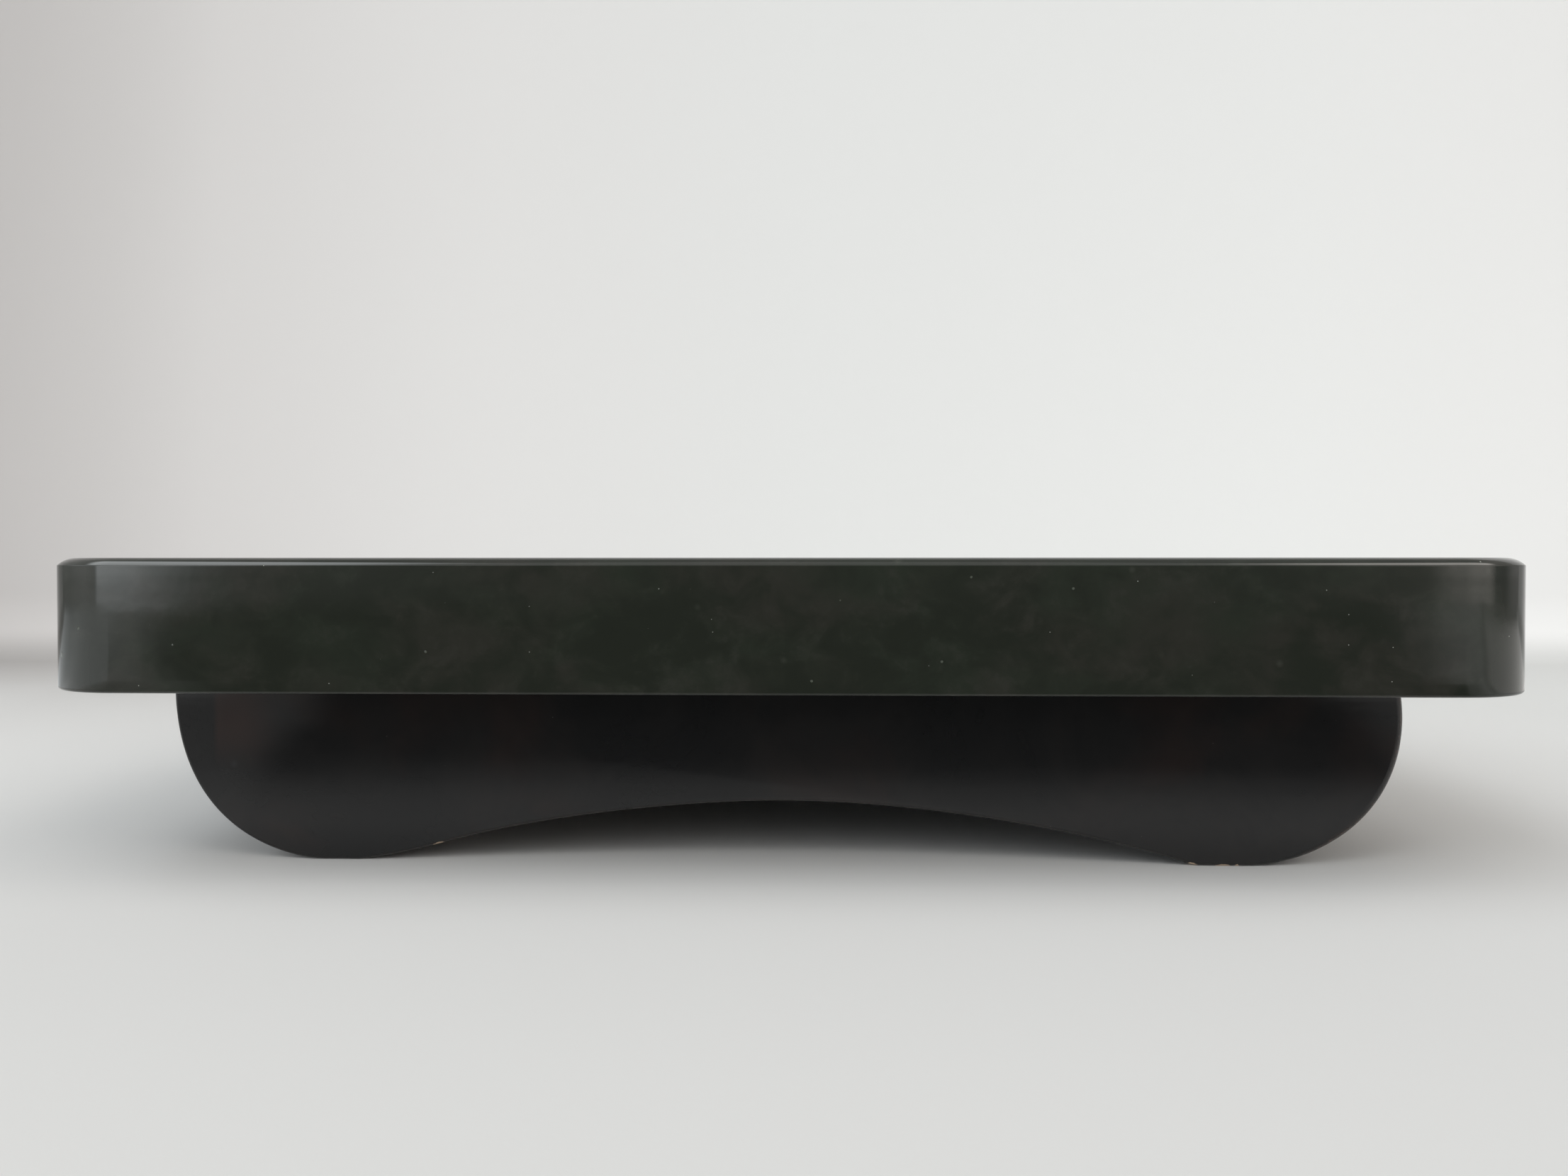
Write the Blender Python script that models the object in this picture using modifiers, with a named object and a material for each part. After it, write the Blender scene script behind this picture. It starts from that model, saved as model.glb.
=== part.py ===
"""Low footed display stand in lacquered wood.

A thick slab with rounded corners lies on a recessed base: two shaped foot
boards, front and rear, joined by two side rails with dowels. A glued block in
each inner corner takes one wood screw up into the slab.

Units are metres, +Z is up, the front faces -Y, and the origin is on the floor
under the middle of the slab. Run with: blender --background --python part.py
"""

import math

import bmesh
import bpy
from mathutils import Matrix, Vector

MM = 0.001

# Overall
WIDTH = 430.0 * MM
DEPTH = 290.0 * MM
HEIGHT = 92.05 * MM
GAP = 0.3 * MM  # between faces that touch

# Slab
SLAB_THICK = 38.4 * MM
SLAB_CORNER_R = 26.7 * MM
SLAB_CORNER_STEPS = 12
ARRIS_R = 0.5 * MM  # turns the upright face into the crowned edge of the top
CROWN_SLOPE = math.radians(45.0)  # of the crowned edge where it meets the arris
CROWN_R = 7.0 * MM  # it flattens from there to level
BOTTOM_ROUND_R = 1.0 * MM

# Base: the boards' outer faces, and their height up to the slab
OVERHANG = 30.0 * MM
BOARD_THICK = 24.0 * MM
BASE_TOP = HEIGHT - SLAB_THICK - GAP
BOARD_EDGE_R = 1.5 * MM

# Outline of a foot board, seen from the front: x, z and Bezier handle lengths
LEFT_EDGE_X = -185.6 * MM
LEFT_EDGE_HANDLE = 45.7 * MM
LEFT_TOE_HANDLE = 13.4 * MM
LEFT_FOOT = (-139.2 * MM, -130.2 * MM)  # flat on the floor between these
RIGHT_EDGE_X = 185.4 * MM
RIGHT_EDGE_LEAN = 0.17
RIGHT_EDGE_HANDLE = 31.4 * MM
RIGHT_TOE_HANDLE = 30.9 * MM
RIGHT_FOOT = (129.0 * MM, 138.0 * MM)
ARCH_APEX = (2.4 * MM, 18.7 * MM)
ARCH_LEFT_FLANK = (-98.4 * MM, 6.4 * MM, 0.27)  # x, z and slope
ARCH_RIGHT_FLANK = (110.1 * MM, 4.2 * MM, -0.26)
ARCH_HEEL_HANDLE = 7.3 * MM
ARCH_CROWN_HANDLE = 32.5 * MM
OUTLINE_STEPS = 12

# Side rails
RAIL_CENTRE_X = 158.0 * MM
RAIL_THICK = 20.0 * MM
RAIL_HEIGHT = 39.7 * MM

# Dowels
DOWEL_R = 4.0 * MM
DOWEL_LENGTH = 36.0 * MM
DOWEL_FLUTE = 0.25 * MM
DOWEL_CHAMFER = 0.8 * MM
DOWEL_IN_BOARD = 14.4 * MM
DOWEL_SPACING = 18.0 * MM
DOWEL_ROOM = 0.6 * MM  # past each end of a dowel

# Corner blocks
BLOCK_LEG = 44.0 * MM
BLOCK_CLIP = 5.0 * MM  # taken off the two thin tips
BLOCK_HEIGHT = 24.0 * MM

# Slab screws, 4 x 40 mm countersunk
SCREW_INSET = 14.0 * MM  # from each of the block's glued faces
SCREW_LENGTH = 40.0 * MM
SCREW_HEAD_R = 3.9 * MM
SCREW_HEAD_H = 2.4 * MM
SCREW_R = 2.0 * MM
SCREW_CORE_R = 1.4 * MM
SCREW_THREAD_LENGTH = 24.0 * MM
SCREW_THREADS = 11
SCREW_SUNK = 0.4 * MM

FRONT_Y = -DEPTH / 2 + OVERHANG  # outer face of the front board
SLAB_BOTTOM = HEIGHT - SLAB_THICK


def clear_scene():
    for obj in list(bpy.data.objects):
        bpy.data.objects.remove(obj, do_unlink=True)


def new_collection(name, hidden=False):
    collection = bpy.data.collections.new(name)
    bpy.context.scene.collection.children.link(collection)
    collection.hide_render = hidden
    return collection


def material(name, colour, roughness, metallic=0.0):
    made = bpy.data.materials.new(name)
    made.use_nodes = True
    shader = made.node_tree.nodes["Principled BSDF"]
    shader.inputs["Base Color"].default_value = (*colour, 1.0)
    shader.inputs["Roughness"].default_value = roughness
    shader.inputs["Metallic"].default_value = metallic
    return made


def add_object(name, mesh, collection, look=None, at=(0, 0, 0)):
    obj = bpy.data.objects.new(name, mesh)
    obj.location = at
    if look:
        obj.data.materials.clear()
        obj.data.materials.append(look)
    collection.objects.link(obj)
    return obj


def mesh_from(bm, name, smooth=None):
    bmesh.ops.recalc_face_normals(bm, faces=bm.faces)
    mesh = bpy.data.meshes.new(name)
    bm.to_mesh(mesh)
    bm.free()
    if smooth:
        mesh.shade_smooth()
        mesh.set_sharp_from_angle(angle=math.radians(smooth))
    return mesh


def cut(obj, cutter):
    modifier = obj.modifiers.new("Cut " + cutter.name, "BOOLEAN")
    modifier.operation = "DIFFERENCE"
    modifier.solver = "EXACT"
    modifier.object = cutter


def cylinder_cutter(name, radius, start, end, radius_end=None, steps=20):
    """A round cutter from start to end, tapered if radius_end is given."""
    start, end = Vector(start), Vector(end)
    axis = end - start
    bm = bmesh.new()
    bmesh.ops.create_cone(
        bm,
        cap_ends=True,
        segments=steps,
        radius1=radius,
        radius2=radius if radius_end is None else radius_end,
        depth=axis.length,
    )
    cutter = add_object(name, mesh_from(bm, name), CUTTERS)
    cutter.matrix_world = (
        Matrix.Translation((start + end) / 2)
        @ axis.to_track_quat("Z", "Y").to_matrix().to_4x4()
    )
    cutter.hide_render = True
    cutter.display_type = "WIRE"
    return cutter


def make_slab():
    """A box with its upright edges rounded, then one ring of faces for each step of the edge profiles."""
    low = SLAB_BOTTOM + BOTTOM_ROUND_R
    high = (
        HEIGHT
        - CROWN_R * (1 - math.cos(CROWN_SLOPE))
        - ARRIS_R * math.cos(CROWN_SLOPE)
    )
    bm = bmesh.new()
    bmesh.ops.create_cube(
        bm,
        size=1.0,
        matrix=Matrix.Translation((0, 0, (low + high) / 2))
        @ Matrix.Diagonal((WIDTH, DEPTH, high - low, 1.0)),
    )
    upright = [
        e for e in bm.edges if abs(e.verts[0].co.z - e.verts[1].co.z) > SLAB_THICK / 2
    ]
    bmesh.ops.bevel(
        bm,
        geom=upright,
        offset=SLAB_CORNER_R,
        segments=SLAB_CORNER_STEPS,
        profile=0.5,
        affect="EDGES",
    )
    top = max(bm.faces, key=lambda f: f.calc_center_median().z)
    bottom = min(bm.faces, key=lambda f: f.calc_center_median().z)

    def ring(face, inwards, outwards):
        bmesh.ops.inset_region(
            bm,
            faces=[face],
            thickness=inwards,
            depth=outwards,
            use_even_offset=True,
            use_boundary=True,
        )

    def arc(face, radius, start, end, steps):
        """Rings round an arc of the edge profile, whose angles are measured from upright."""
        for i in range(steps):
            a = start + (end - start) * i / steps
            b = start + (end - start) * (i + 1) / steps
            ring(
                face,
                radius * (math.cos(a) - math.cos(b)),
                radius * (math.sin(b) - math.sin(a)),
            )

    turn = math.pi / 2 - CROWN_SLOPE
    arc(top, ARRIS_R, 0.0, turn, 2)
    arc(top, CROWN_R, turn, math.pi / 2, 5)
    arc(bottom, BOTTOM_ROUND_R, 0.0, math.pi / 2, 3)
    return add_object("top_slab", mesh_from(bm, "top_slab", 20), PARTS, GREEN_LACQUER)


def flat_outline(points, closed_with="BEZIER"):
    """A filled 2D curve. For BEZIER, each point is (position, left handle, right handle)."""
    data = bpy.data.curves.new("outline", "CURVE")
    data.dimensions = "2D"
    data.fill_mode = "BOTH"
    data.resolution_u = OUTLINE_STEPS
    spline = data.splines.new(closed_with)
    if closed_with == "BEZIER":
        spline.bezier_points.add(len(points) - 1)
        for point, (co, left, right) in zip(spline.bezier_points, points):
            point.handle_left_type = point.handle_right_type = "FREE"
            point.co = (*co, 0)
            point.handle_left = (*left, 0)
            point.handle_right = (*right, 0)
    else:
        spline.points.add(len(points) - 1)
        for point, co in zip(spline.points, points):
            point.co = (*co, 0, 1)
    spline.use_cyclic_u = True
    return data


def board_outline():
    """The outline of a foot board, anticlockwise from the top left corner."""

    def third(a, b):
        """Handles of a straight side."""
        return (
            (a[0] + (b[0] - a[0]) / 3, a[1] + (b[1] - a[1]) / 3),
            (b[0] - (b[0] - a[0]) / 3, b[1] - (b[1] - a[1]) / 3),
        )

    def along(at, slope, length):
        n = math.hypot(1, slope)
        return (at[0] + length / n, at[1] + length * slope / n)

    top_left = (LEFT_EDGE_X, BASE_TOP)
    top_right = (RIGHT_EDGE_X, BASE_TOP)
    foot_l0, foot_l1 = ((x, 0.0) for x in LEFT_FOOT)
    foot_r0, foot_r1 = ((x, 0.0) for x in RIGHT_FOOT)
    flank_l, slope_l = ARCH_LEFT_FLANK[:2], ARCH_LEFT_FLANK[2]
    flank_r, slope_r = ARCH_RIGHT_FLANK[:2], ARCH_RIGHT_FLANK[2]
    lean = math.hypot(RIGHT_EDGE_LEAN, 1)
    right_handle = (
        RIGHT_EDGE_X + RIGHT_EDGE_HANDLE * RIGHT_EDGE_LEAN / lean,
        BASE_TOP - RIGHT_EDGE_HANDLE / lean,
    )
    top_a, top_b = third(top_right, top_left)
    left_a, left_b = third(foot_l0, foot_l1)
    right_a, right_b = third(foot_r0, foot_r1)
    return [
        (top_left, top_b, (LEFT_EDGE_X, BASE_TOP - LEFT_EDGE_HANDLE)),
        (foot_l0, (foot_l0[0] - LEFT_TOE_HANDLE, 0.0), left_a),
        (foot_l1, left_b, (foot_l1[0] + ARCH_HEEL_HANDLE, 0.0)),
        (flank_l, along(flank_l, slope_l, -7.7 * MM), along(flank_l, slope_l, 27 * MM)),
        (
            ARCH_APEX,
            (ARCH_APEX[0] - ARCH_CROWN_HANDLE, ARCH_APEX[1]),
            (ARCH_APEX[0] + ARCH_CROWN_HANDLE, ARCH_APEX[1]),
        ),
        (flank_r, along(flank_r, slope_r, -35 * MM), along(flank_r, slope_r, 14.3 * MM)),
        (foot_r0, (foot_r0[0] - ARCH_HEEL_HANDLE, 0.0), right_a),
        (foot_r1, right_b, (foot_r1[0] + RIGHT_TOE_HANDLE, 0.0)),
        (top_right, right_handle, top_a),
    ]


def solid_from_curve(data, thickness, to_world, name):
    """Fills and extrudes the flat curve and returns it as one welded mesh in world space, with each flat side one face."""
    data.extrude = thickness / 2
    guide = bpy.data.objects.new("guide", data)
    guide.matrix_world = to_world
    bpy.context.scene.collection.objects.link(guide)
    bpy.context.view_layer.update()
    graph = bpy.context.evaluated_depsgraph_get()
    mesh = bpy.data.meshes.new_from_object(guide.evaluated_get(graph))
    mesh.transform(to_world)
    bpy.data.objects.remove(guide, do_unlink=True)
    bm = bmesh.new()
    bm.from_mesh(mesh)
    bmesh.ops.remove_doubles(bm, verts=bm.verts, dist=0.00001)
    bmesh.ops.dissolve_limit(
        bm, angle_limit=math.radians(0.3), verts=bm.verts, edges=bm.edges
    )
    bpy.data.meshes.remove(mesh)
    return bm


def make_board(name, centre_y):
    upright = Matrix.Translation((0, centre_y, 0)) @ Matrix.Rotation(
        math.pi / 2, 4, "X"
    )
    bm = solid_from_curve(
        flat_outline(board_outline()), BOARD_THICK, upright, name
    )
    # Ease both edges of the outline all round, apart from the top under the slab.
    near_top = BASE_TOP - 0.01 * MM
    eased = [
        e
        for e in bm.edges
        if abs(e.verts[0].co.y - e.verts[1].co.y) < 0.01 * MM
        and min(v.co.z for v in e.verts) < near_top
    ]
    bmesh.ops.bevel(
        bm,
        geom=eased,
        offset=BOARD_EDGE_R,
        segments=2,
        profile=0.5,
        affect="EDGES",
        clamp_overlap=True,
    )
    return add_object(name, mesh_from(bm, name, 35), PARTS, BLACK_LACQUER)


def make_rail(name, centre_x):
    length = DEPTH - 2 * OVERHANG - 2 * BOARD_THICK - 2 * GAP
    bm = bmesh.new()
    bmesh.ops.create_cube(
        bm, size=1.0, matrix=Matrix.Diagonal((RAIL_THICK, length, RAIL_HEIGHT, 1.0))
    )
    lower = [
        e
        for e in bm.edges
        if all(v.co.z < 0 for v in e.verts)
        and abs(e.verts[0].co.y - e.verts[1].co.y) > length / 2
    ]
    bmesh.ops.bevel(
        bm, geom=lower, offset=2.0 * MM, segments=3, profile=0.5, affect="EDGES"
    )
    return add_object(
        name,
        mesh_from(bm, name, 35),
        PARTS,
        RAIL_LACQUER,
        (centre_x, 0, BASE_TOP - RAIL_HEIGHT / 2),
    )


def make_block(name, sx, sy):
    """A triangular prism in one inner corner, glued to the board and the rail."""
    corner = (
        sx * (RAIL_CENTRE_X - RAIL_THICK / 2 - GAP),
        sy * (-FRONT_Y - BOARD_THICK - GAP),
    )
    outline = [
        (0, 0),
        (BLOCK_LEG, 0),
        (BLOCK_LEG, BLOCK_CLIP),
        (BLOCK_CLIP, BLOCK_LEG),
        (0, BLOCK_LEG),
    ]
    points = [(corner[0] - sx * x, corner[1] - sy * y) for x, y in outline]
    bm = solid_from_curve(
        flat_outline(points, "POLY"),
        BLOCK_HEIGHT,
        Matrix.Translation((0, 0, BASE_TOP - BLOCK_HEIGHT / 2)),
        name,
    )
    return add_object(name, mesh_from(bm, name), PARTS, BARE_WOOD)


def dowel_mesh():
    """A fluted dowel along Z: a round pin whose every other line of points is let in a little."""
    steps = 28
    bm = bmesh.new()
    bmesh.ops.create_cone(
        bm,
        cap_ends=True,
        segments=steps,
        radius1=DOWEL_R,
        radius2=DOWEL_R,
        depth=DOWEL_LENGTH - 2 * DOWEL_CHAMFER,
    )
    for v in bm.verts:
        turn = math.atan2(v.co.y, v.co.x) / (2 * math.pi) * steps
        if round(turn) % 2:
            v.co.xy *= 1 - DOWEL_FLUTE / DOWEL_R
    ends = [f for f in bm.faces if abs(f.normal.z) > 0.9]
    for end in ends:
        bmesh.ops.inset_region(
            bm,
            faces=[end],
            thickness=DOWEL_CHAMFER,
            depth=DOWEL_CHAMFER,
            use_even_offset=False,
        )
    return mesh_from(bm, "dowel", 50)


def screw_mesh():
    """The turned body of a countersunk wood screw, head down at z = 0 and point up. Its thread is drawn as rings."""
    profile = [(0.0, SCREW_LENGTH)]
    pitch = SCREW_THREAD_LENGTH / SCREW_THREADS
    for i in range(SCREW_THREADS):
        z = SCREW_LENGTH - 2.2 * MM - i * pitch
        grown = min(1.0, 0.55 + 0.25 * i)
        profile.append((SCREW_CORE_R * grown, z))
        profile.append((SCREW_R * grown, z - 0.45 * pitch))
        profile.append((SCREW_CORE_R * min(1.0, grown + 0.1), z - 0.75 * pitch))
    shank = SCREW_LENGTH - 2.2 * MM - SCREW_THREADS * pitch
    profile += [
        (SCREW_R * 0.9, shank),
        (SCREW_R * 0.9, SCREW_HEAD_H + 0.3 * MM),
        (SCREW_R, SCREW_HEAD_H),
        (SCREW_HEAD_R, 0.35 * MM),
        (SCREW_HEAD_R, 0.0),
        (0.0, 0.0),
    ]
    bm = bmesh.new()
    points = [bm.verts.new((r, 0, z)) for r, z in profile]
    for a, b in zip(points, points[1:]):
        bm.edges.new((a, b))
    mesh = bpy.data.meshes.new("screw_profile")
    bm.to_mesh(mesh)
    bm.free()
    turned = add_object("turned_screw", mesh, CUTTERS)
    spin = turned.modifiers.new("Screw", "SCREW")
    spin.steps = spin.render_steps = 16
    spin.use_merge_vertices = True
    spin.merge_threshold = 0.00001
    bpy.context.view_layer.update()
    graph = bpy.context.evaluated_depsgraph_get()
    solid = bpy.data.meshes.new_from_object(turned.evaluated_get(graph))
    bpy.data.objects.remove(turned, do_unlink=True)
    bm = bmesh.new()
    bm.from_mesh(solid)
    bmesh.ops.remove_doubles(bm, verts=bm.verts, dist=0.000005)
    bpy.data.meshes.remove(solid)
    return mesh_from(bm, "screw", 40)


def cross_recess(name, at):
    """A tapered cross-shaped cutter for a screw head, pointing up from below the head."""
    arm, half, depth = 2.1 * MM, 0.42 * MM, 1.9 * MM
    outline = []
    for i in range(4):
        turn = Matrix.Rotation(i * math.pi / 2, 2)
        for p in ((half, half), (arm, half), (arm, -half)):
            outline.append(turn @ Vector(p))
    # Points go round anticlockwise: each arm's two corners, then the notch before the next arm.
    outline.sort(key=lambda p: math.atan2(p.y, p.x))
    bm = bmesh.new()
    face = bm.faces.new([bm.verts.new((p.x, p.y, -0.5 * MM)) for p in outline])
    raised = bmesh.ops.extrude_face_region(bm, geom=[face])["geom"]
    for v in raised:
        if isinstance(v, bmesh.types.BMVert):
            v.co.z += depth + 0.5 * MM
            v.co.xy *= 0.55
    cutter = add_object(name, mesh_from(bm, name), CUTTERS, at=at)
    cutter.hide_render = True
    cutter.display_type = "WIRE"
    return cutter


clear_scene()
PARTS = new_collection("footed_display_stand")
CUTTERS = new_collection("cutters", hidden=True)
GREEN_LACQUER = material("green_lacquer", (0.020, 0.026, 0.017), 0.12)
BLACK_LACQUER = material("black_lacquer", (0.008, 0.008, 0.008), 0.2)
RAIL_LACQUER = material("rail_lacquer", (0.010, 0.010, 0.010), 0.35)
BARE_WOOD = material("bare_wood", (0.50, 0.36, 0.21), 0.65)
DOWEL_WOOD = material("dowel_wood", (0.58, 0.43, 0.27), 0.6)
SCREW_STEEL = material("screw_steel", (0.55, 0.52, 0.45), 0.35, 1.0)

slab = make_slab()
board_y = -FRONT_Y - BOARD_THICK / 2
boards = {
    "front": make_board("front_foot_board", -board_y),
    "rear": make_board("rear_foot_board", board_y),
}
rails = {
    "left": make_rail("side_rail_left", -RAIL_CENTRE_X),
    "right": make_rail("side_rail_right", RAIL_CENTRE_X),
}
SIDES = {"front": -1, "rear": 1, "left": -1, "right": 1}
RAIL_MIDDLE_Z = BASE_TOP - RAIL_HEIGHT / 2
dowel = dowel_mesh()
screw = screw_mesh()

for front in ("front", "rear"):
    for side in ("left", "right"):
        sx, sy = SIDES[side], SIDES[front]
        corner = f"{front}_{side}"

        # Dowels run along Y through the joint between the board and the rail's end.
        joint_y = sy * (-FRONT_Y - BOARD_THICK)
        for level, dz in (("upper", DOWEL_SPACING / 2), ("lower", -DOWEL_SPACING / 2)):
            x, z = sx * RAIL_CENTRE_X, RAIL_MIDDLE_Z + dz
            outer = joint_y + sy * DOWEL_IN_BOARD
            inner = outer - sy * DOWEL_LENGTH
            pin = add_object(
                f"dowel_{corner}_{level}",
                dowel.copy(),
                PARTS,
                DOWEL_WOOD,
                (x, (outer + inner) / 2, z),
            )
            pin.rotation_euler = (math.pi / 2, 0, 0)
            hole = cylinder_cutter(
                f"hole_{corner}_{level}",
                DOWEL_R + GAP,
                (x, outer + sy * DOWEL_ROOM, z),
                (x, inner - sy * DOWEL_ROOM, z),
            )
            cut(boards[front], hole)
            cut(rails[side], hole)

        # The corner block, with one screw up through it into the slab.
        block = make_block(f"corner_block_{corner}", sx, sy)
        at = (
            sx * (RAIL_CENTRE_X - RAIL_THICK / 2 - GAP - SCREW_INSET),
            sy * (-FRONT_Y - BOARD_THICK - GAP - SCREW_INSET),
        )
        underside = BASE_TOP - BLOCK_HEIGHT
        head = underside + SCREW_SUNK
        made = add_object(
            f"slab_screw_{corner}", screw.copy(), PARTS, SCREW_STEEL, (*at, head)
        )
        cut(made, cross_recess(f"recess_{corner}", (*at, head)))
        cut(
            block,
            cylinder_cutter(
                f"clearance_{corner}",
                SCREW_R + 0.5 * MM,
                (*at, underside - 1 * MM),
                (*at, BASE_TOP + 1 * MM),
            ),
        )
        cone_r = SCREW_HEAD_R + 2 * GAP
        drop = SCREW_SUNK + 0.35 * MM + GAP
        cut(
            block,
            cylinder_cutter(
                f"countersink_{corner}",
                cone_r + 1.0 * MM,
                (*at, underside - 1.0 * MM),
                (*at, underside + drop + SCREW_HEAD_H),
                SCREW_R + 0.6 * MM,
            ),
        )
        cut(
            slab,
            cylinder_cutter(
                f"pilot_{corner}",
                SCREW_R + GAP,
                (*at, SLAB_BOTTOM - 1 * MM),
                (*at, head + SCREW_LENGTH + 1 * MM),
            ),
        )

bpy.context.view_layer.update()
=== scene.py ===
import math

import bmesh
import bpy
import numpy as np
from mathutils import Matrix, Vector


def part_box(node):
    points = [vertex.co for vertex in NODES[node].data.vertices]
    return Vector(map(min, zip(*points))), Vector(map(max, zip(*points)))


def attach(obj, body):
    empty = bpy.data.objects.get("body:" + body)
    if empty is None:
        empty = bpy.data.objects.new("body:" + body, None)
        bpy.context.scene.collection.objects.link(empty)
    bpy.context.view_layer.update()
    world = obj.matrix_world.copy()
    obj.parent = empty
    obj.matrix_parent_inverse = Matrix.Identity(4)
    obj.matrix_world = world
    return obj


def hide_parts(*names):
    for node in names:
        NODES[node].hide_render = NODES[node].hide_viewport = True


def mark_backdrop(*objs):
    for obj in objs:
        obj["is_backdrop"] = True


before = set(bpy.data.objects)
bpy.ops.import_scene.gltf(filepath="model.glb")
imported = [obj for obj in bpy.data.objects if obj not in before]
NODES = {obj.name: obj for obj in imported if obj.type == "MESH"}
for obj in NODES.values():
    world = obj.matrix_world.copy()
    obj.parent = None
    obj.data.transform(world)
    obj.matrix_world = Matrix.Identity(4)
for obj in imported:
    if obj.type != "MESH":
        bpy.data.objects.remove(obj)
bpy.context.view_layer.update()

MM = 0.001

# ---------------------------------------------------------------- camera

cam_data = bpy.data.cameras.new("camera")
cam_data.sensor_width = 36.0
cam_data.lens = 28.935
cam_data.clip_start = 0.01
cam_data.clip_end = 50.0
camera = bpy.data.objects.new("camera", cam_data)
camera.location = (0.0141, -0.4940, 0.0898)
camera.rotation_euler = (math.radians(88.98), 0.0, math.radians(1.912))
bpy.context.scene.collection.objects.link(camera)
bpy.context.scene.camera = camera


# ---------------------------------------------------------------- node helpers


class Tree:
    """A few words for building shader nodes."""

    def __init__(self, owner):
        owner.use_nodes = True
        self.t = owner.node_tree
        self.t.nodes.clear()

    def node(self, kind, **settings):
        n = self.t.nodes.new(kind)
        for key, value in settings.items():
            setattr(n, key, value)
        return n

    def link(self, value, socket):
        if isinstance(value, bpy.types.NodeSocket):
            self.t.links.new(value, socket)
        elif value is not None:
            socket.default_value = value

    def math(self, op, a, b=None, c=None, clamp=False):
        n = self.node("ShaderNodeMath", operation=op, use_clamp=clamp)
        for socket, value in zip(n.inputs, (a, b, c)):
            self.link(value, socket)
        return n.outputs[0]

    def vmath(self, op, a, b=None):
        n = self.node("ShaderNodeVectorMath", operation=op)
        self.link(a, n.inputs[0])
        self.link(b, n.inputs[1])
        return n.outputs[0]

    def smooth(self, value, low, high, out_low=0.0, out_high=1.0):
        n = self.node("ShaderNodeMapRange", interpolation_type="SMOOTHSTEP")
        self.link(value, n.inputs["Value"])
        self.link(low, n.inputs["From Min"])
        self.link(high, n.inputs["From Max"])
        self.link(out_low, n.inputs["To Min"])
        self.link(out_high, n.inputs["To Max"])
        return n.outputs[0]

    def mix(self, factor, a, b, blend="MIX"):
        n = self.node("ShaderNodeMix", data_type="RGBA", blend_type=blend)
        self.link(factor, n.inputs[0])
        for socket, value in ((n.inputs[6], a), (n.inputs[7], b)):
            if isinstance(value, (tuple, list)) and len(value) == 3:
                value = (*value, 1.0)
            self.link(value, socket)
        return n.outputs[2]

    def noise(self, vector, scale, detail=3.0, rough=0.55, distort=0.0, offset=None):
        if offset:
            vector = self.vmath("ADD", vector, offset)
        n = self.node("ShaderNodeTexNoise")
        self.link(vector, n.inputs["Vector"])
        n.inputs["Scale"].default_value = scale
        n.inputs["Detail"].default_value = detail
        n.inputs["Roughness"].default_value = rough
        n.inputs["Distortion"].default_value = distort
        return n.outputs["Fac"]

    def ramp(self, value, stops, interpolation="LINEAR"):
        n = self.node("ShaderNodeValToRGB")
        n.color_ramp.interpolation = interpolation
        while len(n.color_ramp.elements) > 1:
            n.color_ramp.elements.remove(n.color_ramp.elements[-1])
        for i, (at, colour) in enumerate(stops):
            e = n.color_ramp.elements[0] if i == 0 else n.color_ramp.elements.new(at)
            e.position = at
            e.color = (*colour, 1.0)
        self.link(value, n.inputs[0])
        return n.outputs[0]

    def specks(self, vector, scale, radius, share, softness=0.35, offset=(0, 0, 0)):
        """Sparse round dots of about radius metres, one in some of the cells of size 1/scale."""
        moved = self.vmath("ADD", vector, offset)
        n = self.node("ShaderNodeTexVoronoi", feature="F1")
        self.link(moved, n.inputs["Vector"])
        n.inputs["Scale"].default_value = scale
        chance = self.node("ShaderNodeSeparateColor")
        self.link(n.outputs["Color"], chance.inputs[0])
        r = self.math(
            "MULTIPLY_ADD", chance.outputs[1], radius * scale * 0.8, radius * scale * 0.35
        )
        inner = self.math("MULTIPLY", r, 1.0 - softness)
        dot = self.smooth(n.outputs["Distance"], inner, r, 1.0, 0.0)
        return self.math(
            "MULTIPLY", dot, self.math("LESS_THAN", chance.outputs[0], share)
        )


def object_coords(t):
    return t.node("ShaderNodeTexCoord").outputs["Object"]


def finish_material(t, principled):
    out = t.node("ShaderNodeOutputMaterial")
    t.link(principled.outputs[0], out.inputs["Surface"])


def bump(t, height, distance, strength=1.0, normal=None):
    n = t.node("ShaderNodeBump")
    n.inputs["Strength"].default_value = strength
    n.inputs["Distance"].default_value = distance
    t.link(height, n.inputs["Height"])
    if normal is not None:
        t.link(normal, n.inputs["Normal"])
    return n.outputs[0]


# ---------------------------------------------------------------- materials

GREEN_DEEP = (0.0168, 0.0196, 0.0151)
GREEN_MOSS = (0.0202, 0.0246, 0.0184)
GREEN_OLIVE = (0.0246, 0.0250, 0.0206)
BLACK_A = (0.0118, 0.0120, 0.0124)
BLACK_B = (0.0158, 0.0152, 0.0152)


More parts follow.
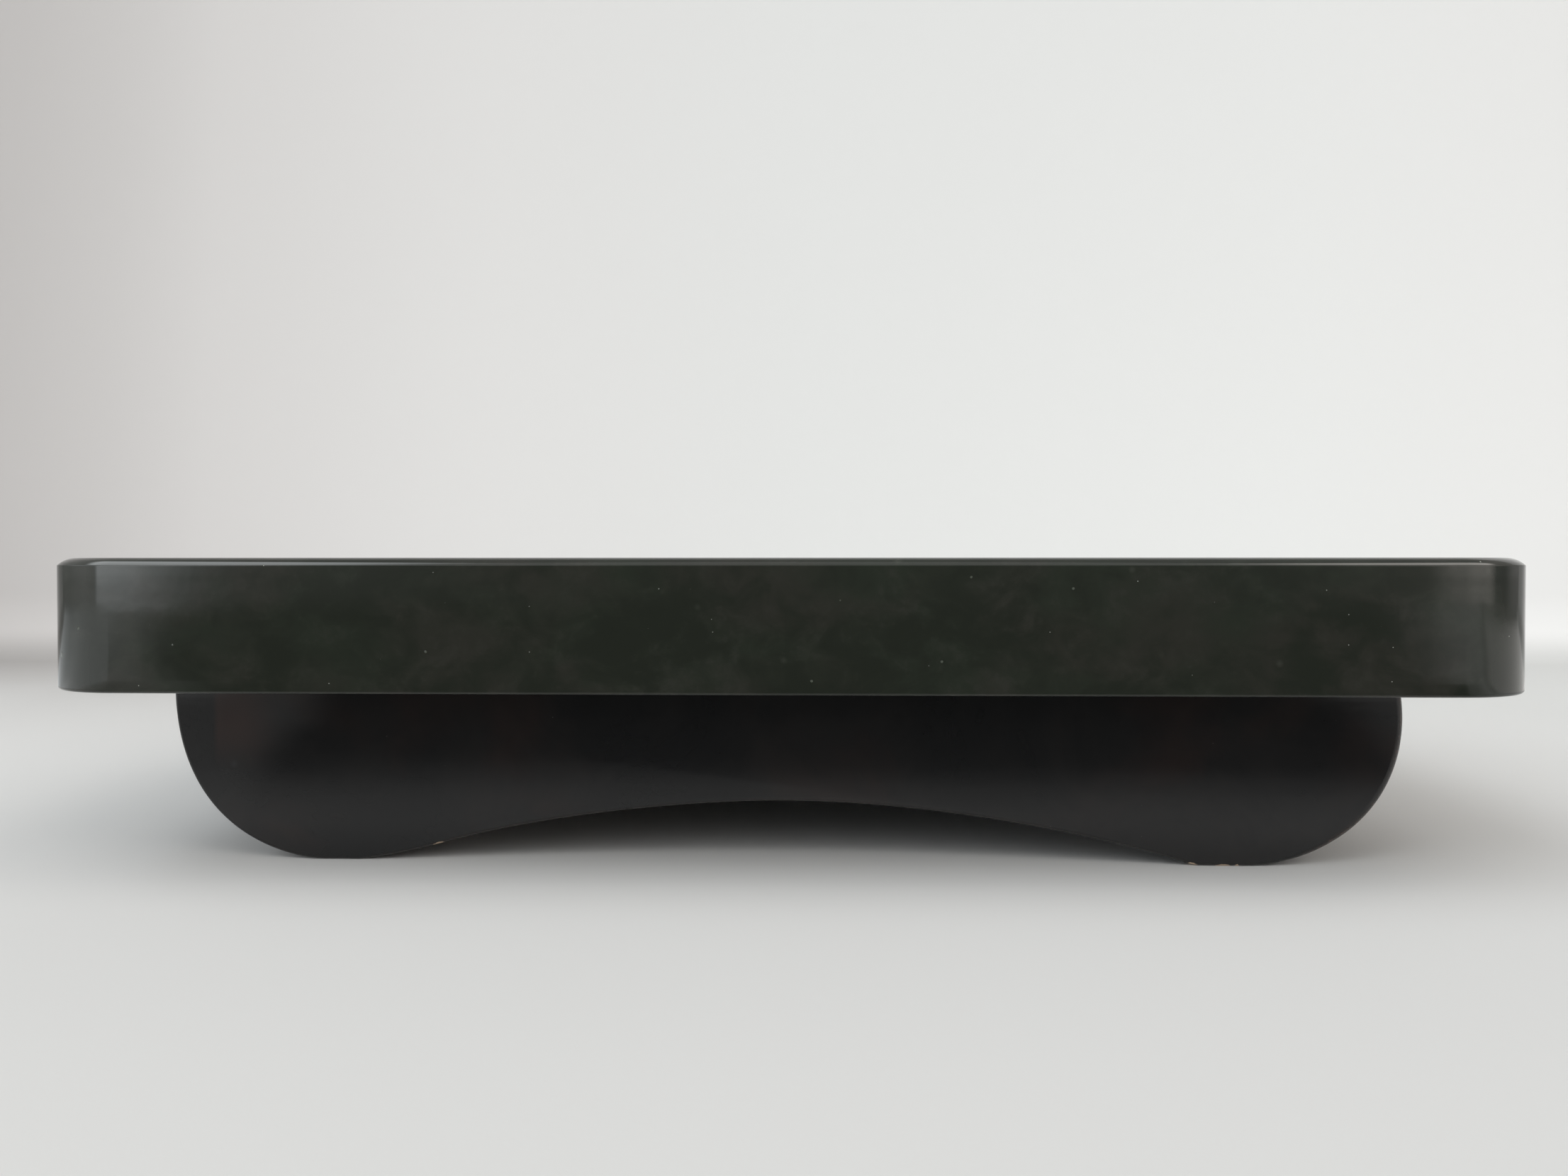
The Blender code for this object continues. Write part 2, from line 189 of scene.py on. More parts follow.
def green_lacquer():
    m = bpy.data.materials.new("green_lacquer_finish")
    t = Tree(m)
    at = object_coords(t)
    wide = t.vmath("MULTIPLY", at, (1.0, 1.0, 1.35))
    clouds = t.noise(wide, 26.0, 3.0, 0.55, 0.4)
    blotches = t.noise(wide, 75.0, 4.0, 0.6, 0.5, (3.1, 1.7, 0.4))
    fine = t.noise(at, 520.0, 3.0, 0.6, 0.0, (0.7, 2.9, 5.3))
    hue = t.noise(wide, 19.0, 3.0, 0.6, 0.3, (8.0, 3.0, 6.0))
    body = t.mix(t.smooth(hue, 0.38, 0.62), GREEN_MOSS, GREEN_OLIVE)
    dark = t.smooth(t.math("MULTIPLY_ADD", blotches, 0.55, t.math("MULTIPLY", clouds, 0.45)), 0.40, 0.58)
    colour = t.mix(dark, GREEN_DEEP, body)
    pale = t.smooth(t.math("MULTIPLY_ADD", fine, 0.35, t.math("MULTIPLY", blotches, 0.65)), 0.50, 0.72)
    colour = t.mix(t.math("MULTIPLY", pale, 0.55), colour, (0.0325, 0.0338, 0.0285))
    pin = t.specks(at, 333.0, 0.00025, 0.14, 0.45, (1.3, 0.2, 0.9))
    spot = t.specks(at, 250.0, 0.00075, 0.034, 0.35, (0.37, 0.81, 0.13))
    haze = t.specks(at, 125.0, 0.0021, 0.06, 0.9, (0.63, 0.22, 0.71))
    colour = t.mix(t.math("MULTIPLY", haze, 0.35), colour, (0.060, 0.066, 0.054))
    colour = t.mix(t.math("MULTIPLY", spot, 0.55), colour, (0.115, 0.130, 0.105))
    colour = t.mix(t.math("MULTIPLY", pin, 0.85), colour, (0.50, 0.53, 0.48))
    p = t.node("ShaderNodeBsdfPrincipled")
    t.link(colour, p.inputs["Base Color"])
    rub = t.noise(t.vmath("MULTIPLY", at, (14.0, 14.0, 90.0)), 1.0, 4.0, 0.6, 0.6)
    t.link(t.math("MULTIPLY_ADD", rub, 0.05, 0.045), p.inputs["Roughness"])
    p.inputs["IOR"].default_value = 1.5
    # Rubbed flat by hand: long low waves, faint orange peel, and nibs of dust under the lacquer.
    waves = t.noise(t.vmath("MULTIPLY", at, (9.0, 9.0, 60.0)), 1.0, 2.0, 0.5, 0.3)
    peel = t.noise(at, 260.0, 2.0, 0.5, 0.0, (9.1, 4.2, 2.2))
    normal = bump(t, waves, 0.00022, 0.35)
    normal = bump(t, peel, 0.00001, 0.6, normal)
    nib = t.math("ADD", pin, t.math("MULTIPLY", spot, 0.7))
    normal = bump(t, nib, 0.00008, 0.7, normal)
    t.link(normal, p.inputs["Normal"])
    finish_material(t, p)
    return m


def black_lacquer():
    m = bpy.data.materials.new("black_lacquer_finish")
    t = Tree(m)
    at = object_coords(t)
    wear = t.node("ShaderNodeAttribute", attribute_name="wear").outputs["Fac"]
    chip = t.node("ShaderNodeAttribute", attribute_name="chip").outputs["Fac"]
    clouds = t.noise(at, 30.0, 4.0, 0.6, 0.5)
    fine = t.noise(at, 300.0, 4.0, 0.6, 0.0, (2.2, 0.7, 1.9))
    colour = t.mix(t.smooth(clouds, 0.35, 0.7), BLACK_A, BLACK_B)
    # Where the black is thin the red-brown coat under it shows through, most of all near the left end.
    place = t.node("ShaderNodeSeparateXYZ")
    t.link(at, place.inputs[0])
    x, _, z = place.outputs
    patch = t.math("MULTIPLY", t.smooth(x, -0.1738, -0.1716), t.smooth(x, -0.166, -0.151, 1.0, 0.0))
    patch = t.math("MULTIPLY", patch, t.smooth(z, 0.026, 0.042))
    warm = t.smooth(t.noise(at, 24.0, 3.0, 0.55, 0.4, (0.19, 0.0, 5.0)), 0.50, 0.74)
    thin = t.math("MAXIMUM", t.math("MULTIPLY", warm, 0.30), t.math("MULTIPLY", patch, 0.80))
    colour = t.mix(thin, colour, (0.0300, 0.0180, 0.0155))
    smudge = t.specks(at, 70.0, 0.0021, 0.28, 0.95, (0.57, 0.11, 0.43))
    pin = t.specks(at, 333.0, 0.00020, 0.04, 0.4, (1.3, 2.2, 0.9))
    colour = t.mix(t.math("MULTIPLY", smudge, 0.42), colour, (0.030, 0.031, 0.034))
    colour = t.mix(t.math("MULTIPLY", pin, 0.55), colour, (0.16, 0.16, 0.155))
    # The worn arris: rubbed black, then the red-brown undercoat, then bare wood in chips.
    nick = t.noise(at, 850.0, 3.0, 0.65, 0.0, (4.0, 4.0, 4.0))
    broad = t.noise(at, 120.0, 3.0, 0.6, 0.0, (7.0, 2.0, 4.0))
    rubbed = t.smooth(t.math("MULTIPLY", wear, t.math("ADD", broad, 0.25)), 0.28, 0.78)
    colour = t.mix(t.math("MULTIPLY", rubbed, 0.55), colour, (0.034, 0.027, 0.025))
    under = t.smooth(
        t.math("MULTIPLY", wear, t.math("ADD", nick, t.math("MULTIPLY", broad, 0.5))),
        0.66,
        0.82,
    )
    colour = t.mix(t.math("MULTIPLY", under, 0.6), colour, (0.072, 0.044, 0.036))
    bare = t.smooth(t.math("MULTIPLY", chip, t.math("ADD", nick, 0.4)), 0.42, 0.52)
    colour = t.mix(bare, colour, (0.42, 0.32, 0.23))
    p = t.node("ShaderNodeBsdfPrincipled")
    t.link(colour, p.inputs["Base Color"])
    rub = t.noise(t.vmath("MULTIPLY", at, (12.0, 12.0, 110.0)), 1.0, 4.0, 0.6, 0.5)
    rough = t.math("MULTIPLY_ADD", rub, 0.06, 0.045)
    rough = t.math("MULTIPLY_ADD", fine, 0.02, rough)
    rough = t.math("MULTIPLY_ADD", rubbed, 0.20, rough)
    rough = t.math("MULTIPLY_ADD", bare, 0.3, rough, clamp=True)
    t.link(rough, p.inputs["Roughness"])
    p.inputs["IOR"].default_value = 1.46
    waves = t.noise(t.vmath("MULTIPLY", at, (8.0, 8.0, 80.0)), 1.0, 3.0, 0.5, 0.3)
    normal = bump(t, waves, 0.00020, 0.35)
    peel = t.noise(at, 230.0, 2.0, 0.5, 0.0, (1.1, 4.2, 2.2))
    normal = bump(t, peel, 0.000012, 0.6, normal)
    relief = t.math("MULTIPLY_ADD", bare, -1.0, t.math("MULTIPLY", pin, 0.4))
    normal = bump(t, relief, 0.00012, 0.7, normal)
    t.link(normal, p.inputs["Normal"])
    finish_material(t, p)
    return m


def grain(t, at, along, scale=1.0):
    """Wood grain running along one axis: (value, fibre) fields."""
    stretch = [60.0, 60.0, 60.0]
    stretch["xyz".index(along)] = 3.0
    mapped = t.vmath("MULTIPLY", at, tuple(s * scale for s in stretch))
    bend = t.noise(mapped, 0.6, 2.0, 0.5)
    rings = t.node("ShaderNodeTexWave", wave_type="BANDS", bands_direction="DIAGONAL")
    t.link(mapped, rings.inputs["Vector"])
    rings.inputs["Scale"].default_value = 0.55
    rings.inputs["Distortion"].default_value = 5.0
    rings.inputs["Detail"].default_value = 2.0
    rings.inputs["Detail Scale"].default_value = 0.8
    stretch["xyz".index(along)] = 18.0
    thin = t.vmath("MULTIPLY", at, tuple(s * scale * 12 for s in stretch))
    fibre = t.noise(thin, 1.0, 3.0, 0.6)
    return t.math("MULTIPLY_ADD", bend, 0.5, t.math("MULTIPLY", rings.outputs["Fac"], 0.5)), fibre


def rail_lacquer():
    m = bpy.data.materials.new("rail_lacquer_finish")
    t = Tree(m)
    at = object_coords(t)
    rings, fibre = grain(t, at, "y")
    clouds = t.noise(at, 26.0, 4.0, 0.6, 0.5)
    colour = t.mix(t.smooth(clouds, 0.3, 0.7), (0.011, 0.011, 0.011), (0.018, 0.017, 0.016))
    colour = t.mix(t.math("MULTIPLY", t.smooth(rings, 0.4, 0.8), 0.35), colour, (0.024, 0.019, 0.016))
    rub = t.smooth(t.noise(at, 70.0, 4.0, 0.6), 0.60, 0.80)
    colour = t.mix(t.math("MULTIPLY", rub, 0.12), colour, (0.05, 0.034, 0.026))
    p = t.node("ShaderNodeBsdfPrincipled")
    t.link(colour, p.inputs["Base Color"])
    t.link(t.math("MULTIPLY_ADD", fibre, 0.14, 0.32), p.inputs["Roughness"])
    normal = bump(t, t.math("MULTIPLY_ADD", fibre, 0.4, rings), 0.00006, 0.6)
    t.link(normal, p.inputs["Normal"])
    finish_material(t, p)
    return m


def bare_wood(name, light, dark, along):
    m = bpy.data.materials.new(name)
    t = Tree(m)
    at = object_coords(t)
    rings, fibre = grain(t, at, along)
    colour = t.mix(t.smooth(rings, 0.35, 0.75), light, dark)
    colour = t.mix(t.math("MULTIPLY", t.smooth(fibre, 0.45, 0.75), 0.35), colour, dark)
    stain = t.smooth(t.noise(at, 45.0, 4.0, 0.65, 0.7, (0.3, 0.9, 0.1)), 0.52, 0.75)
    colour = t.mix(t.math("MULTIPLY", stain, 0.30), colour, tuple(c * 0.45 for c in dark))
    p = t.node("ShaderNodeBsdfPrincipled")
    t.link(colour, p.inputs["Base Color"])
    t.link(t.math("MULTIPLY_ADD", fibre, 0.2, 0.55), p.inputs["Roughness"])
    normal = bump(t, t.math("MULTIPLY_ADD", fibre, 0.5, rings), 0.00012, 0.7)
    t.link(normal, p.inputs["Normal"])
    finish_material(t, p)
    return m


def zinc_steel():
    m = bpy.data.materials.new("screw_steel_finish")
    t = Tree(m)
    at = object_coords(t)
    patch = t.noise(at, 500.0, 3.0, 0.6)
    tarnish = t.smooth(t.noise(at, 260.0, 4.0, 0.7, 0.4, (5.0, 1.0, 2.0)), 0.5, 0.72)
    colour = t.mix(patch, (0.62, 0.58, 0.48), (0.48, 0.47, 0.44))
    colour = t.mix(t.math("MULTIPLY", tarnish, 0.6), colour, (0.17, 0.12, 0.08))
    p = t.node("ShaderNodeBsdfPrincipled")
    t.link(colour, p.inputs["Base Color"])
    t.link(t.math("MULTIPLY_ADD", tarnish, -0.7, 1.0), p.inputs["Metallic"])
    t.link(t.math("MULTIPLY_ADD", tarnish, 0.35, 0.28), p.inputs["Roughness"])
    scratch = t.noise(t.vmath("MULTIPLY", at, (900.0, 900.0, 90.0)), 1.0, 2.0)
    t.link(bump(t, scratch, 0.00003, 0.5), p.inputs["Normal"])
    finish_material(t, p)
    return m


GREEN = green_lacquer()
BLACK = black_lacquer()
RAIL = rail_lacquer()
PINE = bare_wood("bare_wood_finish", (0.56, 0.40, 0.23), (0.36, 0.21, 0.10), "x")
BEECH = bare_wood("dowel_wood_finish", (0.62, 0.45, 0.29), (0.47, 0.31, 0.18), "y")
ZINC = zinc_steel()

# ---------------------------------------------------------------- the slab

SLAB_LOW, SLAB_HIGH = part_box("top_slab")
SLAB_R = 26.7 * MM


def plan_ring(inset, corner_steps=40, long_steps=36, short_steps=24):
    """Points round the slab's plan, let in by inset, anticlockwise."""
    hx = (SLAB_HIGH.x - SLAB_LOW.x) / 2
    hy = (SLAB_HIGH.y - SLAB_LOW.y) / 2
    cx, cy = (SLAB_HIGH.x + SLAB_LOW.x) / 2, (SLAB_HIGH.y + SLAB_LOW.y) / 2
    ax, ay = hx - SLAB_R, hy - SLAB_R
    r = SLAB_R - inset
    points = []
    corners = [(ax, -ay, -90), (ax, ay, 0), (-ax, ay, 90), (-ax, -ay, 180)]
    for i, (x, y, start) in enumerate(corners):
        for k in range(corner_steps + 1):
            a = math.radians(start + 90.0 * k / corner_steps)
            points.append((cx + x + r * math.cos(a), cy + y + r * math.sin(a)))
        nx, ny, n_start = corners[(i + 1) % 4]
        a = math.radians(start + 90.0)
        p = Vector((cx + x + r * math.cos(a), cy + y + r * math.sin(a)))
        q = Vector((cx + nx + r * math.cos(a), cy + ny + r * math.sin(a)))
        steps = short_steps if i % 2 == 0 else long_steps
        for k in range(1, steps):
            points.append(tuple(p.lerp(q, k / steps)))
    return points


def slab_profile():
    """(inset, z) from the edge of the underside up the side to the flat top."""
    low, high = SLAB_LOW.z, SLAB_HIGH.z
    profile = []
    foot = 1.0 * MM
    for k in range(9):
        a = math.pi / 2 * k / 8
        profile.append((foot * (1 - math.sin(a)), low + foot * (1 - math.cos(a))))
    # A small round at the arris, then the crowned edge, which flattens into the top.
    small, crown, turn = 0.5 * MM, 7.0 * MM, math.radians(45.0)
    arris = high - crown * (1 - math.sin(turn)) - small * math.sin(turn)
    for k in range(1, 12):
        profile.append((0.0, low + foot + (arris - low - foot) * k / 12))
    for k in range(11):
        a = turn * k / 10
        profile.append((small * (1 - math.cos(a)), arris + small * math.sin(a)))
    inset, z = profile[-1]
    for k in range(1, 23):
        a = turn + (math.pi / 2 - turn) * k / 22
        profile.append(
            (
                inset + crown * (math.cos(turn) - math.cos(a)),
                z + crown * (math.sin(a) - math.sin(turn)),
            )
        )
    return profile


def make_slab():
    bm = bmesh.new()
    rings = []
    for inset, z in slab_profile():
        rings.append([bm.verts.new((x, y, z)) for x, y in plan_ring(inset)])
    for lower, upper in zip(rings, rings[1:]):
        n = len(lower)
        for i in range(n):
            j = (i + 1) % n
            bm.faces.new((lower[i], lower[j], upper[j], upper[i]))
    bm.faces.new(list(reversed(rings[0])))
    bm.faces.new(rings[-1])
    bmesh.ops.recalc_face_normals(bm, faces=bm.faces)
    mesh = bpy.data.meshes.new("lacquered_slab")
    bm.to_mesh(mesh)
    bm.free()
    mesh.shade_smooth()
    mesh.set_sharp_from_angle(angle=math.radians(60))
    slab = bpy.data.objects.new("lacquered_slab", mesh)
    bpy.context.scene.collection.objects.link(slab)
    mesh.materials.append(GREEN)
    return slab


slab = make_slab()


def drill(obj, places):
    """Cuts round holes, each (start, end, radius), and applies the cut."""
    cutters = []
    for i, (start, end, radius) in enumerate(places):
        start, end = Vector(start), Vector(end)
        axis = end - start
        bm = bmesh.new()
        bmesh.ops.create_cone(
            bm, cap_ends=True, segments=32, radius1=radius, radius2=radius, depth=axis.length
        )
        mesh = bpy.data.meshes.new("drill")
        bm.to_mesh(mesh)
        bm.free()
        cutter = bpy.data.objects.new(f"drill_{i}", mesh)
        cutter.matrix_world = (
            Matrix.Translation((start + end) / 2)
            @ axis.to_track_quat("Z", "Y").to_matrix().to_4x4()
        )
        bpy.context.scene.collection.objects.link(cutter)
        modifier = obj.modifiers.new(f"drill_{i}", "BOOLEAN")
        modifier.operation = "DIFFERENCE"
        modifier.solver = "EXACT"
        modifier.object = cutter
        cutters.append(cutter)
    bpy.context.view_layer.update()
    graph = bpy.context.evaluated_depsgraph_get()
    made = bpy.data.meshes.new_from_object(obj.evaluated_get(graph))
    obj.modifiers.clear()
    old = obj.data
    obj.data = made
    bpy.data.meshes.remove(old)
    for cutter in cutters:
        bpy.data.objects.remove(cutter, do_unlink=True)


CORNERS = [(f, s) for f in ("front", "rear") for s in ("left", "right")]


def middle(node):
    low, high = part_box(node)
    return (low + high) / 2


drill(
    slab,
    [
        (
            (middle(f"slab_screw_{f}_{s}").x, middle(f"slab_screw_{f}_{s}").y, SLAB_LOW.z - 2 * MM),
            (
                middle(f"slab_screw_{f}_{s}").x,
                middle(f"slab_screw_{f}_{s}").y,
                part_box(f"slab_screw_{f}_{s}")[1].z + 1 * MM,
            ),
            2.3 * MM,
        )
        for f, s in CORNERS
    ],
)
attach(slab, "root")
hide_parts("top_slab")

# ---------------------------------------------------------------- the foot boards


def bezier(p0, p1, p2, p3, steps):
    out = []
    for k in range(steps):
        s = k / steps
        u = 1 - s
        out.append(
            tuple(
                u**3 * a + 3 * u * u * s * b + 3 * u * s * s * c + s**3 * d
                for a, b, c, d in zip(p0, p1, p2, p3)
            )
        )
    return out


def board_path(top):
    """The outline of a foot board from its top left corner, down and along the feet and arch, to its top right corner, in metres."""

    def along(at, slope, length):
        n = math.hypot(1, slope)
        return (at[0] + length / n, at[1] + length * slope / n)

    m = MM
    tl, tr = (-185.5 * m, top), (185.1 * m, top)
    fl0, fl1, fr0, fr1 = (-139.2 * m, 0.0), (-130.2 * m, 0.0), (129 * m, 0.0), (138 * m, 0.0)
    kl, kr, apex = (-98.4 * m, 6.4 * m), (110.1 * m, 4.2 * m), (2.4 * m, 18.7 * m)
    lean = math.hypot(0.17, 1)
    path = bezier(tl, (tl[0], top - 45.7 * m), (fl0[0] - 11.2 * m, 0.0), fl0, 90)
    path += bezier(fl0, (fl0[0] + 3 * m, 0), (fl1[0] - 3 * m, 0), fl1, 8)
    path += bezier(fl1, (fl1[0] + 7.3 * m, 0), along(kl, 0.27, -7.7 * m), kl, 36)
    path += bezier(kl, along(kl, 0.27, 27 * m), (apex[0] - 32.5 * m, apex[1]), apex, 60)
    path += bezier(apex, (apex[0] + 32.5 * m, apex[1]), along(kr, -0.26, -35 * m), kr, 60)
    path += bezier(kr, along(kr, -0.26, 14.3 * m), (fr0[0] - 7.3 * m, 0), fr0, 30)
    path += bezier(fr0, (fr0[0] + 3 * m, 0), (fr1[0] - 3 * m, 0), fr1, 8)
    path += bezier(
        fr1,
        (fr1[0] + 30.9 * m, 0),
        (tr[0] + 31.4 * m * 0.17 / lean, top - 31.4 * m / lean),
        tr,
        90,
    )
    path.append(tr)
    return path


def normals_of(path):
    """Unit normals of the path that point out of the board."""
    out = []
    for i in range(len(path)):
        a, b = path[max(i - 1, 0)], path[min(i + 1, len(path) - 1)]
        d = Vector((b[0] - a[0], b[1] - a[1])).normalized()
        out.append((d.y, -d.x))  # the path runs anticlockwise, so out is to its right
    return out


def make_board(name, node, edge_radius, wear_at, chips):
    """A foot board with a rounded arris whose radius and wear vary along the outline. edge_radius(x, z) is in metres and wear_at(x, z) from 0 to 1, both for the outer face; chips is a list of (x, length) on that face."""
    low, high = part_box(node)
    path = board_path(high.z)
    normal = normals_of(path)
    outer = low.y if low.y < 0 else high.y
    inner = high.y if low.y < 0 else low.y
    inward = 1.0 if outer < inner else -1.0
    steps = 6
    rows = []  # (y, inset, wear) per ring, as functions of the point
    for k in range(steps + 1):
        a = math.pi / 2 * k / steps
        rows.append(("outer", a))
    for s in (0.15, 0.35, 0.55, 0.75):
        rows.append(("flank", s))
    for k in range(steps + 1):
        a = math.pi / 2 * k / steps
        rows.append(("inner", math.pi / 2 - a))
    bm = bmesh.new()
    wear_layer = bm.verts.layers.float.new("wear")
    chip_layer = bm.verts.layers.float.new("chip")
    rings = []
    for kind, v in rows:
        ring = []
        for (x, z), (nx, nz) in zip(path, normal):
            r_out = edge_radius(x, z)
            r_in = 1.2 * MM
            if kind == "outer":
                inset, y = r_out * (1 - math.sin(v)), outer + inward * r_out * (1 - math.cos(v))
                worn = wear_at(x, z) * (0.35 + 0.65 * math.sin(2 * v))
            elif kind == "inner":
                inset, y = r_in * (1 - math.sin(v)), inner - inward * r_in * (1 - math.cos(v))
                worn = 0.55 * (0.3 + 0.7 * math.sin(2 * v))
            else:
                y0, y1 = outer + inward * r_out, inner - inward * r_in
                inset, y = 0.0, y0 + (y1 - y0) * v
                worn = 0.12
            px, pz = x - nx * inset, z - nz * inset
            if z >= high.z - 1e-9:
                pz = high.z
            vert = bm.verts.new((px, y, max(pz, 0.0)))
            vert[wear_layer] = worn
            if kind == "outer":
                for cx, length in chips:
                    d = abs(x - cx) / (length / 2)
                    if d < 1.6 and z < 15 * MM:
                        vert[chip_layer] = max(
                            vert[chip_layer],
                            max(0.0, 1.0 - d * d * 0.5) * (0.15 + 0.85 * math.sin(v)),
                        )
            ring.append(vert)
        rings.append(ring)
    for a, b in zip(rings, rings[1:]):
        for i in range(len(a) - 1):
            bm.faces.new((a[i], a[i + 1], b[i + 1], b[i]))
    # The two flat faces and the flat top.
    bm.faces.new(rings[0])
    bm.faces.new(list(reversed(rings[-1])))
    bm.faces.new([r[0] for r in rings] + [r[-1] for r in reversed(rings)])
    bmesh.ops.recalc_face_normals(bm, faces=bm.faces)
    mesh = bpy.data.meshes.new(name)
    bm.to_mesh(mesh)
    bm.free()
    mesh.shade_smooth()
    mesh.set_sharp_from_angle(angle=math.radians(50))
    board = bpy.data.objects.new(name, mesh)
    bpy.context.scene.collection.objects.link(board)
    mesh.materials.append(BLACK)
    places = []
    for other in NODES:
        if other.startswith("dowel_" + ("front" if low.y < 0 else "rear")):
            d_low, d_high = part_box(other)
            c = (d_low + d_high) / 2
            bottom = (d_low.y if low.y < 0 else d_high.y) - inward * 0.6 * MM
            places.append(((c.x, bottom, c.z), (c.x, inner + inward * 2 * MM, c.z), 4.3 * MM))
    drill(board, places)
    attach(board, "root")
    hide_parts(node)
    return board


def lobe(x, z, centre, width):
    return max(0.0, 1.0 - abs(x - centre) / width)


def front_radius(x, z):
    right = lobe(x, z, 178 * MM, 34 * MM) if z > 1 * MM else 0.0
    return (1.1 + 1.5 * min(1.0, right * 1.6)) * MM


def front_wear(x, z):
    right = min(1.0, 1.6 * lobe(x, z, 176 * MM, 40 * MM))
    left = min(1.0, 1.5 * lobe(x, z, -182 * MM, 20 * MM))
    arch = 0.75 if -125 * MM < x < 125 * MM else 0.0
    foot = 0.7 if z < 4 * MM else 0.0
    return max(right, 0.7 * left, arch, foot, 0.5)


make_board(
    "black_front_board",
    "front_foot_board",
    front_radius,
    front_wear,
    [(-104 * MM, 3.5 * MM), (123.7 * MM, 3.5 * MM), (132.6 * MM, 5 * MM), (136.9 * MM, 1.8 * MM)],
)
make_board(
    "black_rear_board",
    "rear_foot_board",
    lambda x, z: 1.2 * MM,
    lambda x, z: 0.65,
    [(-128 * MM, 4 * MM), (-60 * MM, 2.5 * MM), (140 * MM, 3 * MM)],
)

# ---------------------------------------------------------------- pieces kept from the frame


def dress(node, look, edge=0.0):
    piece = NODES[node]
    piece.data.materials.clear()
    piece.data.materials.append(look)
    if edge:
        soft = piece.modifiers.new("eased", "BEVEL")
        soft.width = edge
        soft.segments = 2
        soft.limit_method = "ANGLE"
        soft.angle_limit = math.radians(40)


for side in ("left", "right"):
    dress(f"side_rail_{side}", RAIL)
for f, s in CORNERS:
    dress(f"corner_block_{f}_{s}", PINE)
    dress(f"slab_screw_{f}_{s}", ZINC)
    for level in ("upper", "lower"):
        dress(f"dowel_{f}_{s}_{level}", BEECH)

# ---------------------------------------------------------------- stage

FOLD_Y = 0.66


def make_sweep():
    """The paper floor, which turns up behind the object into a backdrop."""
    path = [(-2.6, 0.0), (-1.2, 0.0), (-0.6, 0.0), (0.0, 0.0), (FOLD_Y, 0.0)]
    r = 0.07
    for k in range(1, 17):
        a = math.radians(84) * k / 16
        path.append((FOLD_Y + r * math.sin(a), r * (1 - math.cos(a))))
    y, z = path[-1]
    a = math.radians(84)
    for k in range(1, 6):
        path.append((y + 0.19 * k * math.cos(a), z + 0.19 * k * math.sin(a)))
    bm = bmesh.new()
    xs = [-2.6 + 5.2 * i / 12 for i in range(13)]
    grid = [[bm.verts.new((x, y, z)) for x in xs] for y, z in path]
    for a, b in zip(grid, grid[1:]):
        for i in range(len(xs) - 1):
            bm.faces.new((a[i], a[i + 1], b[i + 1], b[i]))
    mesh = bpy.data.meshes.new("paper_sweep")
    bm.to_mesh(mesh)
    bm.free()
    mesh.shade_smooth()
    sweep = bpy.data.objects.new("paper_sweep", mesh)
    bpy.context.scene.collection.objects.link(sweep)
    m = bpy.data.materials.new("paper")
    t = Tree(m)
    at = object_coords(t)
    place = t.node("ShaderNodeSeparateXYZ")
    t.link(at, place.inputs[0])
    x, y, z = place.outputs
    # The paper's colour carries painted shade: full white at its right and near sides, greyer far left and high up,
    # standing in for less light falling there.
    soft = t.noise(at, 3.0, 2.0, 0.5)
    floor = t.mix(soft, (0.750, 0.751, 0.745), (0.768, 0.769, 0.764))
    left = t.ramp(
        t.math("MULTIPLY_ADD", x, 0.25, 0.5),
        [
            (0.10, (0.36, 0.35, 0.345)),
            (0.28, (0.54, 0.52, 0.515)),
            (0.34, (0.63, 0.615, 0.61)),
            (0.42, (0.77, 0.765, 0.76)),
            (0.50, (0.84, 0.85, 0.845)),
            (0.62, (0.91, 0.92, 0.915)),
            (0.72, (0.93, 0.925, 0.92)),
            (0.88, (0.60, 0.60, 0.59)),
        ],
    )
    far = t.smooth(y, -0.05, FOLD_Y + 0.05)
    paper_with_painted_shade = t.mix(far, floor, t.mix(1.0, t.mix(1.0, left, (0.92, 0.92, 0.92), "MULTIPLY"), floor, "MULTIPLY"))
    # Painted shade: the backdrop greys higher up.
    high = t.smooth(z, 0.05, 0.75, 1.0, 0.93)
    colour = t.mix(1.0, paper_with_painted_shade, high, "MULTIPLY")
    p = t.node("ShaderNodeBsdfPrincipled")
    t.link(colour, p.inputs["Base Color"])
    p.inputs["Roughness"].default_value = 0.9
    p.inputs["Specular IOR Level"].default_value = 0.2
    # Painted light: the backdrop paper itself glows, weakest at its left end, for all but diffuse rays.
    painted_light_wash = t.ramp(
        t.math("MULTIPLY_ADD", x, 0.25, 0.5),
        [
            (0.10, (0.12, 0.12, 0.12)),
            (0.298, (0.172, 0.168, 0.166)),
            (0.322, (0.196, 0.192, 0.190)),
            (0.349, (0.246, 0.242, 0.240)),
            (0.403, (0.252, 0.250, 0.249)),
            (0.493, (0.228, 0.228, 0.228)),
            (0.678, (0.205, 0.203, 0.203)),
            (0.90, (0.15, 0.15, 0.15)),
        ],
    )
    lit = t.math("MULTIPLY", t.smooth(z, 0.0005, 0.030), t.smooth(z, 0.10, 0.80, 1.0, 1.0))
    ray = t.node("ShaderNodeLightPath").outputs["Is Diffuse Ray"]
    lit = t.math("MULTIPLY", lit, t.math("SUBTRACT", 1.0, ray))
    glow = t.vmath("SCALE", painted_light_wash)
    t.link(lit, glow.node.inputs["Scale"])
    t.link(glow, p.inputs["Emission Color"])
    p.inputs["Emission Strength"].default_value = 1.0
    tooth = t.noise(at, 900.0, 3.0, 0.6)
    t.link(bump(t, tooth, 0.0001, 0.25), p.inputs["Normal"])
    finish_material(t, p)
    mesh.materials.append(m)
    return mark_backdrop(sweep)


make_sweep()


